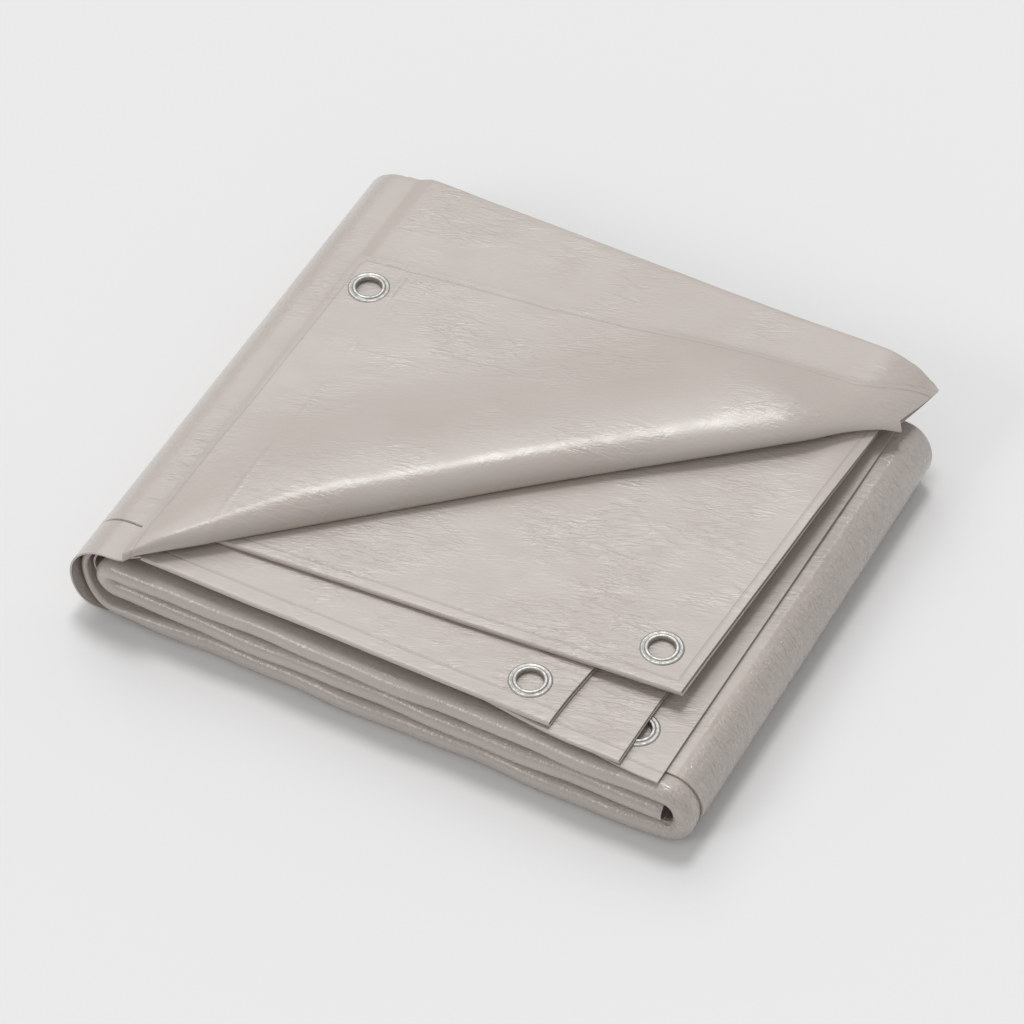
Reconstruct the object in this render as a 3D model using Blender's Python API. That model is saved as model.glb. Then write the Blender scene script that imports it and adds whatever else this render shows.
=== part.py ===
"""A folded tarpaulin: one sheet folded back and forth, rolled over twice, with one top corner turned back."""

import math

import bpy
import numpy as np

# Lengths in metres. X runs left to right along the front, Y to the back, Z up.
CLOTH = 0.0011
GAP = 0.0003
LEFT_X, RIGHT_X = 0.033, 0.3660
TOP_BACK_Y, LOW_BACK_Y = (0.3315, 0.3262), 0.2990
FOLD_START, FOLD_END = (0.0420, -0.0010), (0.3672, 0.2855)
FLAP_CORNER, FLAP_RIGHT, FLAP_TIP = (0.0430, 0.2585), (0.3745, 0.2985), 0.0185
ROLL_HEIGHT, ROLL_WIDTH, ROLL_SKEW = (0.0045, 0.0160), (0.0016, 0.0028, 0.0110), 0.0150
FLAP_LIFT = 0.0024
PACK_Z = {"low": 0.00655, "middle": 0.0210, "high": 0.0354}
LEAF_PITCH = 0.0040
TOP_LEAF_Z = (0.0570, 0.0554, 0.0532, 0.0516, 0.0494, 0.0478, 0.0462, 0.0437)
SINK_SHARE = (1.0, 0.95, 0.90, 0.62, 0.50, 0.38, 0.25, 0.12)
LEFT_DROP, LEFT_PITCH, FRONT_Y = 0.0050, 0.0023, -0.0020
EYELET_OUTER, EYELET_HOLE, EYELET_NECK = 0.0120, 0.0073, 0.0080

# How far across the turned corner each row of the grid lies, from the right edge to the front edge.
ROW_SHARE = (1.0, 0.93, 0.865, 0.80, 0.74, 0.68, 0.62, 0.58, 0.50, 0.42, 0.34, 0.26, 0.18, 0.10, 0.04, 0.0)
CORNER_SHARE = 0.58
FLAP_COLUMNS, ROLL_COLUMNS, LEAF_COLUMNS, FOLD_COLUMNS = 5, 6, 6, 3
LEAVES, WOUND_LEAVES = 8, 4


def smooth(value):
    value = np.clip(value, 0.0, 1.0)
    return value * value * (3.0 - 2.0 * value)


def mix(low, high, share):
    return low + (high - low) * share


def leaf_height(leaf, x, y):
    """Middle of a top leaf. The pile rises to the back right, is lower at its left and droops at its back right."""
    rise = 0.0045 * smooth((x - 0.05) / 0.30) * smooth(y / 0.30)
    wave = 0.0005 * math.sin(9.0 * x + 4.0) * math.sin(7.0 * y)
    left = LEFT_DROP * (1.0 - smooth((x - LEFT_X) / 0.0155))
    sink = 0.0085 * smooth((x - 0.340) / 0.036) * smooth((y - 0.2) / 0.08) * SINK_SHARE[leaf]
    tip = 0.0 if leaf else 0.0040 * smooth((x - 0.36) / 0.014)
    return TOP_LEAF_Z[leaf] + (rise + wave - left) * (1.0 - leaf / 8.0) - sink - tip


def back_edge(x):
    """Y of the top's back edge: it draws forward to the right, and most at its corner."""
    return mix(TOP_BACK_Y[0], TOP_BACK_Y[1], smooth((x - 0.05) / 0.25)) - 0.0060 * smooth((x - 0.350) / 0.026)


def front_edge(leaf, x):
    """Y of the front edge of a top leaf."""
    if leaf == 0:
        return mix(FRONT_Y, FOLD_START[1], (x - LEFT_X) / (FOLD_START[0] - LEFT_X))
    if leaf in (1, 2):
        return mix(0.0320, 0.0542, (x - 0.04) / 0.31)
    if leaf in (3, 4):
        return 0.0075
    if leaf == 7:
        return mix(0.0120, 0.0032, smooth((x - 0.27) / 0.09))
    return mix(0.0120, 0.0045, smooth((x - 0.24) / 0.10))


def right_edge(leaf, y):
    """X of the right edge of a top leaf: the leaves are stepped back from one another."""
    front = (0.373, 0.3480, 0.3490, 0.2960, 0.2965, 0.3385, 0.3390, 0.3615)[leaf]
    back = (0.373, 0.3600, 0.3600, 0.3440, 0.3440, 0.3480, 0.3480, 0.3640)[leaf]
    return mix(front, back, smooth(y / 0.30))


def arc(centre, radii, start, turn, count, first=0):
    for step in range(first, count + 1):
        angle = start + turn * step / count
        point = (centre[0] + radii[0] * math.cos(angle), centre[1] + radii[1] * math.sin(angle))
        out = (math.cos(angle) / radii[0], math.sin(angle) / radii[1])
        size = math.hypot(*out)
        yield point, (out[0] / size, out[1] / size)


def wound_path():
    """The line that the folded strip is wound on, from the top's left end to its tucked-in end."""
    low, middle, high = PACK_Z["low"], PACK_Z["middle"], PACK_Z["high"]
    top = TOP_LEAF_Z[0] - LEFT_DROP - 1.5 * LEFT_PITCH
    rows = list(arc((LEFT_X, 0.5 * (top + low)), (0.0205, 0.5 * (top - low)), math.pi / 2, math.pi, 8))
    rows += [((x, low), (0.0, -1.0)) for x in (0.10, 0.18, 0.26, 0.33)]
    rows += list(arc((RIGHT_X, 0.5 * (low + high)), (0.0105, 0.5 * (high - low)), -math.pi / 2, math.pi, 8))
    rows += [((x, high), (0.0, 1.0)) for x in (0.30, 0.22, 0.14, 0.08)]
    rows += list(arc((0.0345, 0.5 * (high + middle)), (0.0078, 0.5 * (high - middle)), math.pi / 2, math.pi, 7))
    rows += [((x, middle), (0.0, -1.0)) for x in (0.08, 0.16, 0.25, 0.3655)]
    return rows


def wound_rows():
    """Positions of the four leaves that run round: one list of columns for each row."""
    path = wound_path()
    result = []
    travelled = 0.0
    for index, (point, out) in enumerate(path):
        if index:
            travelled += math.dist(point, path[index - 1][0])
        settle = smooth(travelled / 0.07)
        pitch = mix(LEFT_PITCH, LEAF_PITCH, settle)
        spread = mix(0.5 * pitch, 0.0058, smooth((travelled - 0.060) / 0.055))
        back = mix(TOP_BACK_Y[0], LOW_BACK_Y, smooth(travelled / 0.35))
        back += 0.002 * math.sin(5.0 * travelled)
        outer = mix(FRONT_Y, 0.0135, smooth((travelled - 0.045) / 0.045))
        folded = mix(front_edge(1, LEFT_X), 0.0045, smooth(travelled / 0.025))
        folded = mix(folded, 0.0, smooth((travelled - 0.035) / 0.030))
        inner = mix(front_edge(3, LEFT_X), 0.0135, smooth((travelled - 0.020) / 0.060))
        columns = leaf_profile((outer, folded, folded, inner), back, pitch, spread)
        row = []
        for y, offset in columns:
            row.append((point[0] + out[0] * offset, y, point[1] + out[1] * offset))
        result.append(row)
    return result


def leaf_profile(front, back, pitch, spread):
    """(y, offset) of each column of four leaves folded back and forth, leaf one first."""
    levels = [1.5 * pitch, 0.5 * pitch, -0.5 * pitch, -1.5 * pitch]
    columns = []
    for leaf in range(4):
        backward = leaf % 2 == 0
        radius = 0.5 * pitch
        near = front[leaf] + (spread if leaf in (1, 2) else 0.0)
        far = back - radius
        for step in range(LEAF_COLUMNS):
            share = step / (LEAF_COLUMNS - 1)
            share = share if backward else 1.0 - share
            bend = share ** 1.6
            y = mix(near, far, bend)
            level = levels[leaf]
            if leaf in (1, 2):
                open_share = 1.0 - smooth((y - near) / 0.022)
                level = math.copysign(mix(abs(level), spread, open_share), level)
            columns.append((y, level))
        if leaf == 3:
            break
        for step in range(1, FOLD_COLUMNS + 1):
            angle = math.pi * step / (FOLD_COLUMNS + 1)
            if backward:
                centre = 0.5 * (levels[leaf] + levels[leaf + 1])
                columns.append((far + radius * math.sin(angle), centre + radius * math.cos(angle)))
            else:
                columns.append((near - spread * math.sin(angle), spread * math.cos(angle)))
    return columns


def roll_sizes(share):
    """Height, outward width, inward skew and reach of the roll, and the height of its lower quarter."""
    later = smooth((share - 0.45) / 0.45)
    height = mix(*ROLL_HEIGHT, smooth((share + 0.08) / 0.36)) * (1.0 - 0.78 * smooth((share - 0.84) / 0.16))
    width = mix(*ROLL_WIDTH[:2], smooth(share / 0.1)) + (ROLL_WIDTH[2] - ROLL_WIDTH[1]) * later
    width = width * (1.0 - 0.60 * smooth((share - 0.86) / 0.14))
    skew = ROLL_SKEW * smooth(share / 0.25) * (1.0 - smooth((share - 0.80) / 0.20))
    reach = mix(0.018, 0.095, smooth(share / 0.30)) - 0.065 * smooth((share - 0.80) / 0.20)
    return height, width, skew, reach, height * mix(0.26, 0.47, later)


def top_row(share):
    """All eight leaves at one row of the top, with the turned-back corner in the first."""
    x = mix(FOLD_START[0], FOLD_END[0], share)
    start = np.array([x, mix(FOLD_START[1], FOLD_END[1], share)])
    along = np.subtract(FOLD_END, FOLD_START)
    along = along / np.linalg.norm(along)
    outward = np.array([along[1], -along[0]])
    height, width, skew, reach, low = roll_sizes(share)
    if share <= CORNER_SHARE:
        edge = mix(np.array(FOLD_START), np.array(FLAP_CORNER), share / CORNER_SHARE)
    else:
        beyond = (share - CORNER_SHARE) / (1.0 - CORNER_SHARE)
        edge = mix(np.array(FLAP_CORNER), np.array(FLAP_RIGHT), beyond)
        edge = edge + np.array([0.0, FLAP_TIP * smooth((edge[0] - 0.338) / 0.0365)])
    top = start - outward * skew
    row = []
    for step in range(FLAP_COLUMNS):
        across = 1.0 - step / FLAP_COLUMNS
        place = mix(top, edge, across)
        gone = np.linalg.norm(place - top)
        lift = mix(height, FLAP_LIFT, smooth(gone / reach))
        row.append((place[0], place[1], leaf_height(0, *place) + lift))
    for step in range(ROLL_COLUMNS + 1):
        angle = math.pi * (1.0 - step / (ROLL_COLUMNS + 1))
        if math.cos(angle) < 0.0:
            out = (width + skew) * math.sin(angle) - skew
            lift = low - (height - low) * math.cos(angle)
        else:
            out = width * math.sin(angle)
            lift = low * (1.0 - math.cos(angle))
        place = start + outward * out
        row.append((place[0], place[1], leaf_height(0, *place) + lift))
    return row, start


def top_rows():
    rows = []
    stations = [*ROW_SHARE, -1.0]
    for share in stations:
        turned, start = top_row(max(share, 0.0))
        x_row = start[0] if share >= 0.0 else 0.5 * (FOLD_START[0] + LEFT_X)
        row = list(turned)
        travel = (x_row - LEFT_X) / (FOLD_END[0] - LEFT_X)
        for leaf in range(LEAVES):
            backward = leaf % 2 == 0
            for step in range(LEAF_COLUMNS):
                part = step / (LEAF_COLUMNS - 1)
                part = part if backward else 1.0 - part
                near = front_edge(leaf, x_row)
                if leaf == 0:
                    near = start[1] if share >= 0.0 else near
                radius = 0.5 * abs(TOP_LEAF_Z[leaf] - TOP_LEAF_Z[min(leaf + 1, LEAVES - 1)])
                y = mix(near, back_edge(x_row) - 0.004 * (leaf // 2), part)
                x = mix(LEFT_X, right_edge(leaf, y), travel) if leaf else x_row + 0.0073 * travel ** 8 * part
                wound = TOP_LEAF_Z[0] - LEFT_DROP - LEFT_PITCH * leaf
                z = leaf_height(leaf, x, y)
                if leaf < WOUND_LEAVES:
                    z = mix(wound, z, smooth((x - 0.036) / 0.016))
                row.append((x, y, z))
            if leaf == LEAVES - 1:
                break
            row.extend([None] * FOLD_COLUMNS)
        rows.append(row)
    fill_folds(rows)
    return rows


def leaf_start(leaf):
    return FLAP_COLUMNS + ROLL_COLUMNS + 1 + leaf * (LEAF_COLUMNS + FOLD_COLUMNS)


def fill_folds(rows):
    """Joins each leaf to the next with a half circle."""
    for row in rows:
        for leaf in range(LEAVES - 1):
            last = leaf_start(leaf) + LEAF_COLUMNS - 1
            one = np.array(row[last])
            two = np.array(row[last + FOLD_COLUMNS + 1])
            radius = 0.5 * abs(one[2] - two[2])
            side = 1.0 if leaf % 2 == 0 else -1.0
            for step in range(1, FOLD_COLUMNS + 1):
                angle = math.pi * step / (FOLD_COLUMNS + 1)
                share = 0.5 * (1.0 - math.cos(angle))
                place = mix(one, two, share)
                place[1] += side * radius * math.sin(angle)
                row[last + step] = tuple(place)


def sheet_grid():
    """The whole sheet as one grid: its points, and which of its cells hold cloth."""
    tops = top_rows()
    winding = wound_rows()
    columns = len(tops[0])
    first = leaf_start(0)
    rows = len(tops) + len(winding)
    points = np.zeros((rows, columns, 3))
    cells = np.zeros((rows - 1, columns - 1), bool)
    for index, row in enumerate(tops):
        points[index] = row
    for index, row in enumerate(winding):
        points[len(tops) + index, first : first + len(row)] = row
    turned_rows = len(ROW_SHARE) - 1
    cells[:turned_rows, :first] = True
    cells[:, first : leaf_start(3) + LEAF_COLUMNS - 1] = True
    cells[: turned_rows - 1, leaf_start(3) :] = True
    for patch in PATCHES.values():
        row, column = patch["rows"], patch_columns(patch)
        cells[row[0] : row[1], column[0] : column[1]] = False
    return points, cells


# Each strip replaces these cells of the sheet: the leaf, the rows from the right edge, and the eyelet's centre.
PATCHES = {
    "hem_flap": {"leaf": -1, "rows": (7, 9), "centre": (0.0612, 0.2362)},
    "hem_upper": {"leaf": 1, "rows": (0, 3), "centre": (0.3268, 0.0765)},
    "hem_middle": {"leaf": 3, "rows": (0, 3), "centre": (0.2742, 0.0275)},
    "hem_lower": {"leaf": 7, "rows": (0, 3), "centre": (0.3363, 0.0305)},
}


def patch_columns(patch):
    if patch["leaf"] < 0:
        return 0, 1
    last = leaf_start(patch["leaf"]) + LEAF_COLUMNS - 1
    return last - 1, last


def patch_height(patch, x, y):
    if patch["leaf"] < 0:
        return leaf_height(0, x, y) + FLAP_LIFT
    return leaf_height(patch["leaf"], x, y)


def patch_outline(patch, points):
    """The outline of the removed cells, seen from above, anticlockwise and drawn in by the gap."""
    (low, high), (left, right) = patch["rows"], patch_columns(patch)
    ring = [points[row, left] for row in range(low, high + 1)]
    ring += [points[high, column] for column in range(left + 1, right + 1)]
    ring += [points[row, right] for row in range(high - 1, low - 1, -1)]
    ring += [points[low, column] for column in range(right - 1, left, -1)]
    ring = np.array(ring)[:, :2]
    turned = np.roll(ring, -1, axis=0)
    if np.sum(ring[:, 0] * turned[:, 1] - ring[:, 1] * turned[:, 0]) < 0.0:
        ring = ring[::-1]
    edge = np.roll(ring, -1, axis=0) - ring
    edge = edge / np.linalg.norm(edge, axis=1)[:, None]
    inward = np.stack([-edge[:, 1], edge[:, 0]], axis=1)
    before = np.roll(inward, 1, axis=0)
    return ring + GAP * 2.2 * (inward + before) / (1.0 + np.sum(inward * before, axis=1))[:, None]


def densify(ring, step):
    dense = []
    for point, other in zip(ring, np.roll(ring, -1, axis=0)):
        parts = max(1, round(float(np.linalg.norm(other - point)) / step))
        dense += [mix(point, other, part / parts) for part in range(parts)]
    return np.array(dense)


def ring_patch(patch, points):
    """Rings of points from the strip's outline in to the eyelet's hole."""
    centre = np.array(patch["centre"])
    outline = densify(patch_outline(patch, points), 0.007)
    direction = outline - centre
    direction = direction / np.linalg.norm(direction, axis=1)[:, None]
    hole = centre + direction * (EYELET_NECK + 2.2 * GAP)
    rings = []
    for share in (0.0, 0.5, 1.0):
        flat = mix(outline, hole, share)
        rings.append([(x, y, patch_height(patch, x, y)) for x, y in flat])
    return np.array(rings)


def thicken(points, quads, thickness):
    """A closed shell round a middle surface: both faces, and a wall along each free edge."""
    keys = np.round(points, 7)
    _, first, index = np.unique(keys, axis=0, return_index=True, return_inverse=True)
    index = index.reshape(-1)
    middle = points[first]
    faces = []
    for quad in index[np.array(quads)]:
        corners = [corner for place, corner in enumerate(quad) if corner != quad[place - 1]]
        if len(corners) == 4:
            faces += [(corners[0], corners[1], corners[2]), (corners[0], corners[2], corners[3])]
        elif len(corners) == 3:
            faces.append(tuple(corners))
    faces = np.array(faces)
    cross = np.cross(middle[faces[:, 1]] - middle[faces[:, 0]], middle[faces[:, 2]] - middle[faces[:, 0]])
    normal = np.zeros_like(middle)
    for corner in range(3):
        np.add.at(normal, faces[:, corner], cross)
    normal = normal / np.maximum(np.linalg.norm(normal, axis=1), 1e-15)[:, None]
    count = len(middle)
    both = np.concatenate([middle + normal * thickness / 2, middle - normal * thickness / 2])
    shell = [*faces.tolist(), *(faces[:, ::-1] + count).tolist()]
    edges = {}
    for face in faces.tolist():
        for start, end in zip(face, face[1:] + face[:1]):
            edges[(start, end)] = True
    for start, end in edges:
        if (end, start) not in edges:
            shell += [(end, start, start + count), (end, start + count, end + count)]
    return both, shell


def add_node(name, points, faces, origin, colour, metallic, roughness):
    used, index = np.unique(np.array(faces), return_inverse=True)
    faces = index.reshape(-1, 3)
    mesh = bpy.data.meshes.new(name)
    mesh.from_pydata((np.asarray(points)[used] - origin).tolist(), [], faces.tolist())
    mesh.update()
    material = bpy.data.materials.new(f"{name}_material")
    material.use_nodes = True
    shader = material.node_tree.nodes["Principled BSDF"]
    shader.inputs["Base Color"].default_value = (*colour, 1.0)
    shader.inputs["Metallic"].default_value = metallic
    shader.inputs["Roughness"].default_value = roughness
    mesh.materials.append(material)
    node = bpy.data.objects.new(name, mesh)
    bpy.context.scene.collection.objects.link(node)
    return node


def turned_ring(profile, centre, base, tilt, steps=32):
    """A closed (radius, height) profile turned round the eyelet's axis, tilted with the cloth."""
    points, faces = [], []
    size = len(profile)
    for step in range(steps):
        angle = math.tau * step / steps
        for radius, height in profile:
            x, y = radius * math.cos(angle), radius * math.sin(angle)
            points.append((centre[0] + x, centre[1] + y, base + height + tilt[0] * x + tilt[1] * y))
        for one in range(size):
            two = (one + 1) % size
            here, ahead = step * size, (step + 1) % steps * size
            faces += [(here + one, ahead + one, ahead + two), (here + one, ahead + two, here + two)]
    return points, faces


def build_eyelet(name, patch, origin):
    x, y = patch["centre"]
    base = patch_height(patch, x, y)
    step = 0.010
    tilt = (
        (patch_height(patch, x + step, y) - patch_height(patch, x - step, y)) / (2 * step),
        (patch_height(patch, x, y + step) - patch_height(patch, x, y - step)) / (2 * step),
    )
    face = CLOTH / 2 + GAP
    barrel = [
        (EYELET_HOLE, -face - 0.0003),
        (EYELET_NECK, -face - 0.0003),
        (EYELET_NECK, face),
        (EYELET_OUTER - 0.0001, face),
        (EYELET_OUTER, face + 0.0002),
        (0.0112, face + 0.0006),
        (0.0098, face + 0.0008),
        (0.0084, face + 0.0007),
        (EYELET_HOLE, face + 0.0001),
    ]
    washer = [
        (EYELET_NECK + GAP, -face - 0.0003),
        (EYELET_OUTER - 0.0004, -face - 0.0003),
        (EYELET_OUTER - 0.0004, -face),
        (EYELET_NECK + GAP, -face),
    ]
    tag = name.replace("hem_", "")
    for kind, profile in (("eyelet", barrel), ("washer", washer)):
        points, faces = turned_ring(profile, (x, y), base, tilt)
        add_node(f"{kind}_{tag}", points, faces, origin, (0.80, 0.79, 0.77), 1.0, 0.30)


def main():
    for old in list(bpy.data.objects):
        bpy.data.objects.remove(old, do_unlink=True)
    points, cells = sheet_grid()
    rows, columns = points.shape[:2]
    quads = [
        (corner, corner + 1, corner + columns + 1, corner + columns)
        for corner in (row * columns + column for row, column in zip(*np.nonzero(cells)))
    ]
    shell, faces = thicken(points.reshape(-1, 3), quads, CLOTH)
    used = shell[np.unique(np.array(faces))]
    origin = 0.5 * (used.min(axis=0) + used.max(axis=0))
    origin[2] = used[:, 2].min()
    add_node("tarp_cloth", shell, faces, origin, (0.56, 0.53, 0.49), 0.0, 0.42)
    for name, patch in PATCHES.items():
        rings = ring_patch(patch, points)
        count = rings.shape[1]
        quads = [
            (here + spoke, here + count + spoke, here + count + (spoke + 1) % count, here + (spoke + 1) % count)
            for here in range(0, (rings.shape[0] - 1) * count, count)
            for spoke in range(count)
        ]
        shell, faces = thicken(rings.reshape(-1, 3), quads, CLOTH)
        add_node(name, shell, faces, origin, (0.56, 0.53, 0.49), 0.0, 0.42)
        build_eyelet(name, patch, origin)


if __name__ == "__main__":
    main()
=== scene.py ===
"""Folded tarp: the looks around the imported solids. Lengths are in metres, X along the front, Y to the back, Z up."""

import math

import bpy
import numpy as np
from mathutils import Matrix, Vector
from bpy.props import FloatProperty, FloatVectorProperty, IntProperty, PointerProperty


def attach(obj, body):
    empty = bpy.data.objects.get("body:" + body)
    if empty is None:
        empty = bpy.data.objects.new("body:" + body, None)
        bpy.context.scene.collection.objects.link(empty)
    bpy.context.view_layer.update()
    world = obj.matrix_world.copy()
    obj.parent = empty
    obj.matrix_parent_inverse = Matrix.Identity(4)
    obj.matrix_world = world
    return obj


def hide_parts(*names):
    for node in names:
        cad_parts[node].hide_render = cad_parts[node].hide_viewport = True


bl_info = {
    "name": "Folded tarp",
    "version": (1, 0, 0),
    "blender": (4, 5, 0),
    "location": "3D View > Sidebar > Tarp",
    "description": "Builds a folded, coated tarpaulin with eyelets, and a plain studio",
    "category": "Add Mesh",
}

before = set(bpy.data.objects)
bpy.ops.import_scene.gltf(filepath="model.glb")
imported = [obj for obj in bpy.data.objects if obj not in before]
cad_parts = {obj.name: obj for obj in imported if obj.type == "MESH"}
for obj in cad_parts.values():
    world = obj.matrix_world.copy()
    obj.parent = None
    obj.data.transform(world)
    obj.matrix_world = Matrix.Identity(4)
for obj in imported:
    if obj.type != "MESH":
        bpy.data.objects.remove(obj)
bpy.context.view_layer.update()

# The same named sizes as in the part's source.
ORIGIN = np.array([0.195208832, 0.165296115, 0.0])
LEFT_X, RIGHT_X = 0.033, 0.3660
TOP_BACK_Y, LOW_BACK_Y = (0.3315, 0.3262), 0.2990
FOLD_START, FOLD_END = np.array([0.0420, -0.0010]), np.array([0.3672, 0.2855])
FLAP_CORNER, FLAP_RIGHT, FLAP_TIP = np.array([0.0430, 0.2585]), np.array([0.3745, 0.2985]), 0.0185
ROLL_HEIGHT, ROLL_WIDTH, ROLL_SKEW = (0.0045, 0.0160), (0.0016, 0.0028, 0.0110), 0.0150
FLAP_LIFT = 0.0024
LOW_Z, MIDDLE_Z, HIGH_Z = 0.00655, 0.0210, 0.0354
LEAF_PITCH = 0.0040
TOP_LEAF_Z = (0.0570, 0.0554, 0.0532, 0.0516, 0.0494, 0.0478, 0.0462, 0.0437)
SINK_SHARE = (1.0, 0.95, 0.90, 0.62, 0.50, 0.38, 0.25, 0.12)
LEFT_DROP, LEFT_PITCH, FRONT_Y = 0.0050, 0.0023, -0.0020
CORNER_SHARE = 0.58
LEAVES, WOUND_LEAVES = 8, 4
LEAF_POINTS = (36, 44, 12, 28, 10, 20, 8, 26)
FLAP_POINTS, ROLL_POINTS, FOLD_POINTS = 40, 20, 7
FAR = 0.5

# Each eyelet: the leaf that holds it, and its centre.
EYELETS = {
    "flap": (-1, (0.0612, 0.2362)),
    "upper": (1, (0.3268, 0.0765)),
    "middle": (3, (0.2742, 0.0275)),
    "lower": (7, (0.3363, 0.0305)),
}


def smooth(value):
    """Soft step from 0 to 1: 3t squared less 2t cubed, held at both ends."""
    value = np.clip(value, 0.0, 1.0)
    return value * value * (3.0 - 2.0 * value)


def mix(low, high, share):
    """Straight blend: low plus share of the way to high."""
    return low + (high - low) * share


def ripple(x, y, amount):
    """Soft unevenness of the sheet: a sum of slanting waves, each with its own length, direction and phase."""
    waves = (
        (38.0, 21.0, 0.4, 0.28),
        (-27.0, 45.0, 1.9, 0.22),
        (70.0, -33.0, 2.7, 0.14),
        (55.0, 81.0, 4.1, 0.12),
        (118.0, 40.0, 0.9, 0.07),
        (-64.0, 133.0, 5.2, 0.06),
        (171.0, -96.0, 3.3, 0.04),
    )
    total = np.zeros(np.broadcast(x, y).shape)
    for along_x, along_y, phase, height in waves:
        bend = 0.8 * np.sin(along_y * 0.31 * x - along_x * 0.27 * y + phase)
        total = total + height * np.sin(along_x * x + along_y * y + phase + bend)
    return amount * total


def leaf_height(leaf, x, y):
    """Middle of a top leaf: a soft rise to the back right, one long wave, a lower left end and a drooping back right."""
    rise = 0.0045 * smooth((x - 0.05) / 0.30) * smooth(y / 0.30)
    wave = 0.0005 * np.sin(9.0 * x + 4.0) * np.sin(7.0 * y)
    left = LEFT_DROP * (1.0 - smooth((x - LEFT_X) / 0.0155))
    sink = 0.0085 * smooth((x - 0.340) / 0.036) * smooth((y - 0.2) / 0.08) * SINK_SHARE[leaf]
    tip = 0.0 if leaf else 0.0040 * smooth((x - 0.36) / 0.014)
    return TOP_LEAF_Z[leaf] + (rise + wave - left) * (1.0 - leaf / 8.0) - sink - tip


def back_edge(x):
    """Y of the top's back edge: a soft step forward to the right, and one more at its corner."""
    return mix(TOP_BACK_Y[0], TOP_BACK_Y[1], smooth((x - 0.05) / 0.25)) - 0.0060 * smooth((x - 0.350) / 0.026)


def front_edge(leaf, x):
    """Y of a top leaf's front edge: straight lines on the upper leaves, and a soft step forward on the lowest three."""
    x = np.asarray(x, float)
    if leaf == 0:
        return mix(FRONT_Y, FOLD_START[1], (x - LEFT_X) / (FOLD_START[0] - LEFT_X))
    if leaf in (1, 2):
        return mix(0.0320, 0.0542, (x - 0.04) / 0.31)
    if leaf in (3, 4):
        return np.full_like(x, 0.0075)
    if leaf == 7:
        return mix(0.0120, 0.0032, smooth((x - 0.27) / 0.09))
    return mix(0.0120, 0.0045, smooth((x - 0.24) / 0.10))


def right_edge(leaf, y):
    """X of a top leaf's right edge: it runs from its front place to its back place along a soft step."""
    front = (0.373, 0.3480, 0.3490, 0.2960, 0.2965, 0.3385, 0.3390, 0.3615)[leaf]
    back = (0.373, 0.3600, 0.3600, 0.3440, 0.3440, 0.3480, 0.3480, 0.3640)[leaf]
    return mix(front, back, smooth(y / 0.30))


def line_gap(points, start, end):
    """Distance of points in plan from the straight line through start and end."""
    along = (end - start) / np.linalg.norm(end - start)
    offset = points - start
    return np.abs(offset[..., 0] * along[1] - offset[..., 1] * along[0])


def leaf_shares(leaf):
    """Where a leaf's points lie from front to back: closer together near the front on leaves whose front shows."""
    power = (1.0, 1.1, 1.5, 1.7, 1.7, 2.0, 1.7, 1.9)[leaf]
    return np.linspace(0.0, 1.0, LEAF_POINTS[leaf]) ** power


def roll_sizes(share):
    """Height, outward width, inward skew and reach of the roll, and the height of its lower quarter: soft steps."""
    later = smooth((share - 0.45) / 0.45)
    height = mix(*ROLL_HEIGHT, smooth((share + 0.08) / 0.36)) * (1.0 - 0.78 * smooth((share - 0.84) / 0.16))
    height = height * mix(0.55, 1.0, smooth(share / 0.06))
    width = mix(*ROLL_WIDTH[:2], smooth(share / 0.1)) + (ROLL_WIDTH[2] - ROLL_WIDTH[1]) * later
    width = width * (1.0 - 0.60 * smooth((share - 0.86) / 0.14))
    skew = ROLL_SKEW * smooth(share / 0.25) * (1.0 - smooth((share - 0.80) / 0.20))
    reach = mix(0.018, 0.095, smooth(share / 0.30)) - 0.065 * smooth((share - 0.80) / 0.20)
    return height[:, None], width[:, None], skew[:, None], reach[:, None], (height * mix(0.26, 0.47, later))[:, None]


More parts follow.
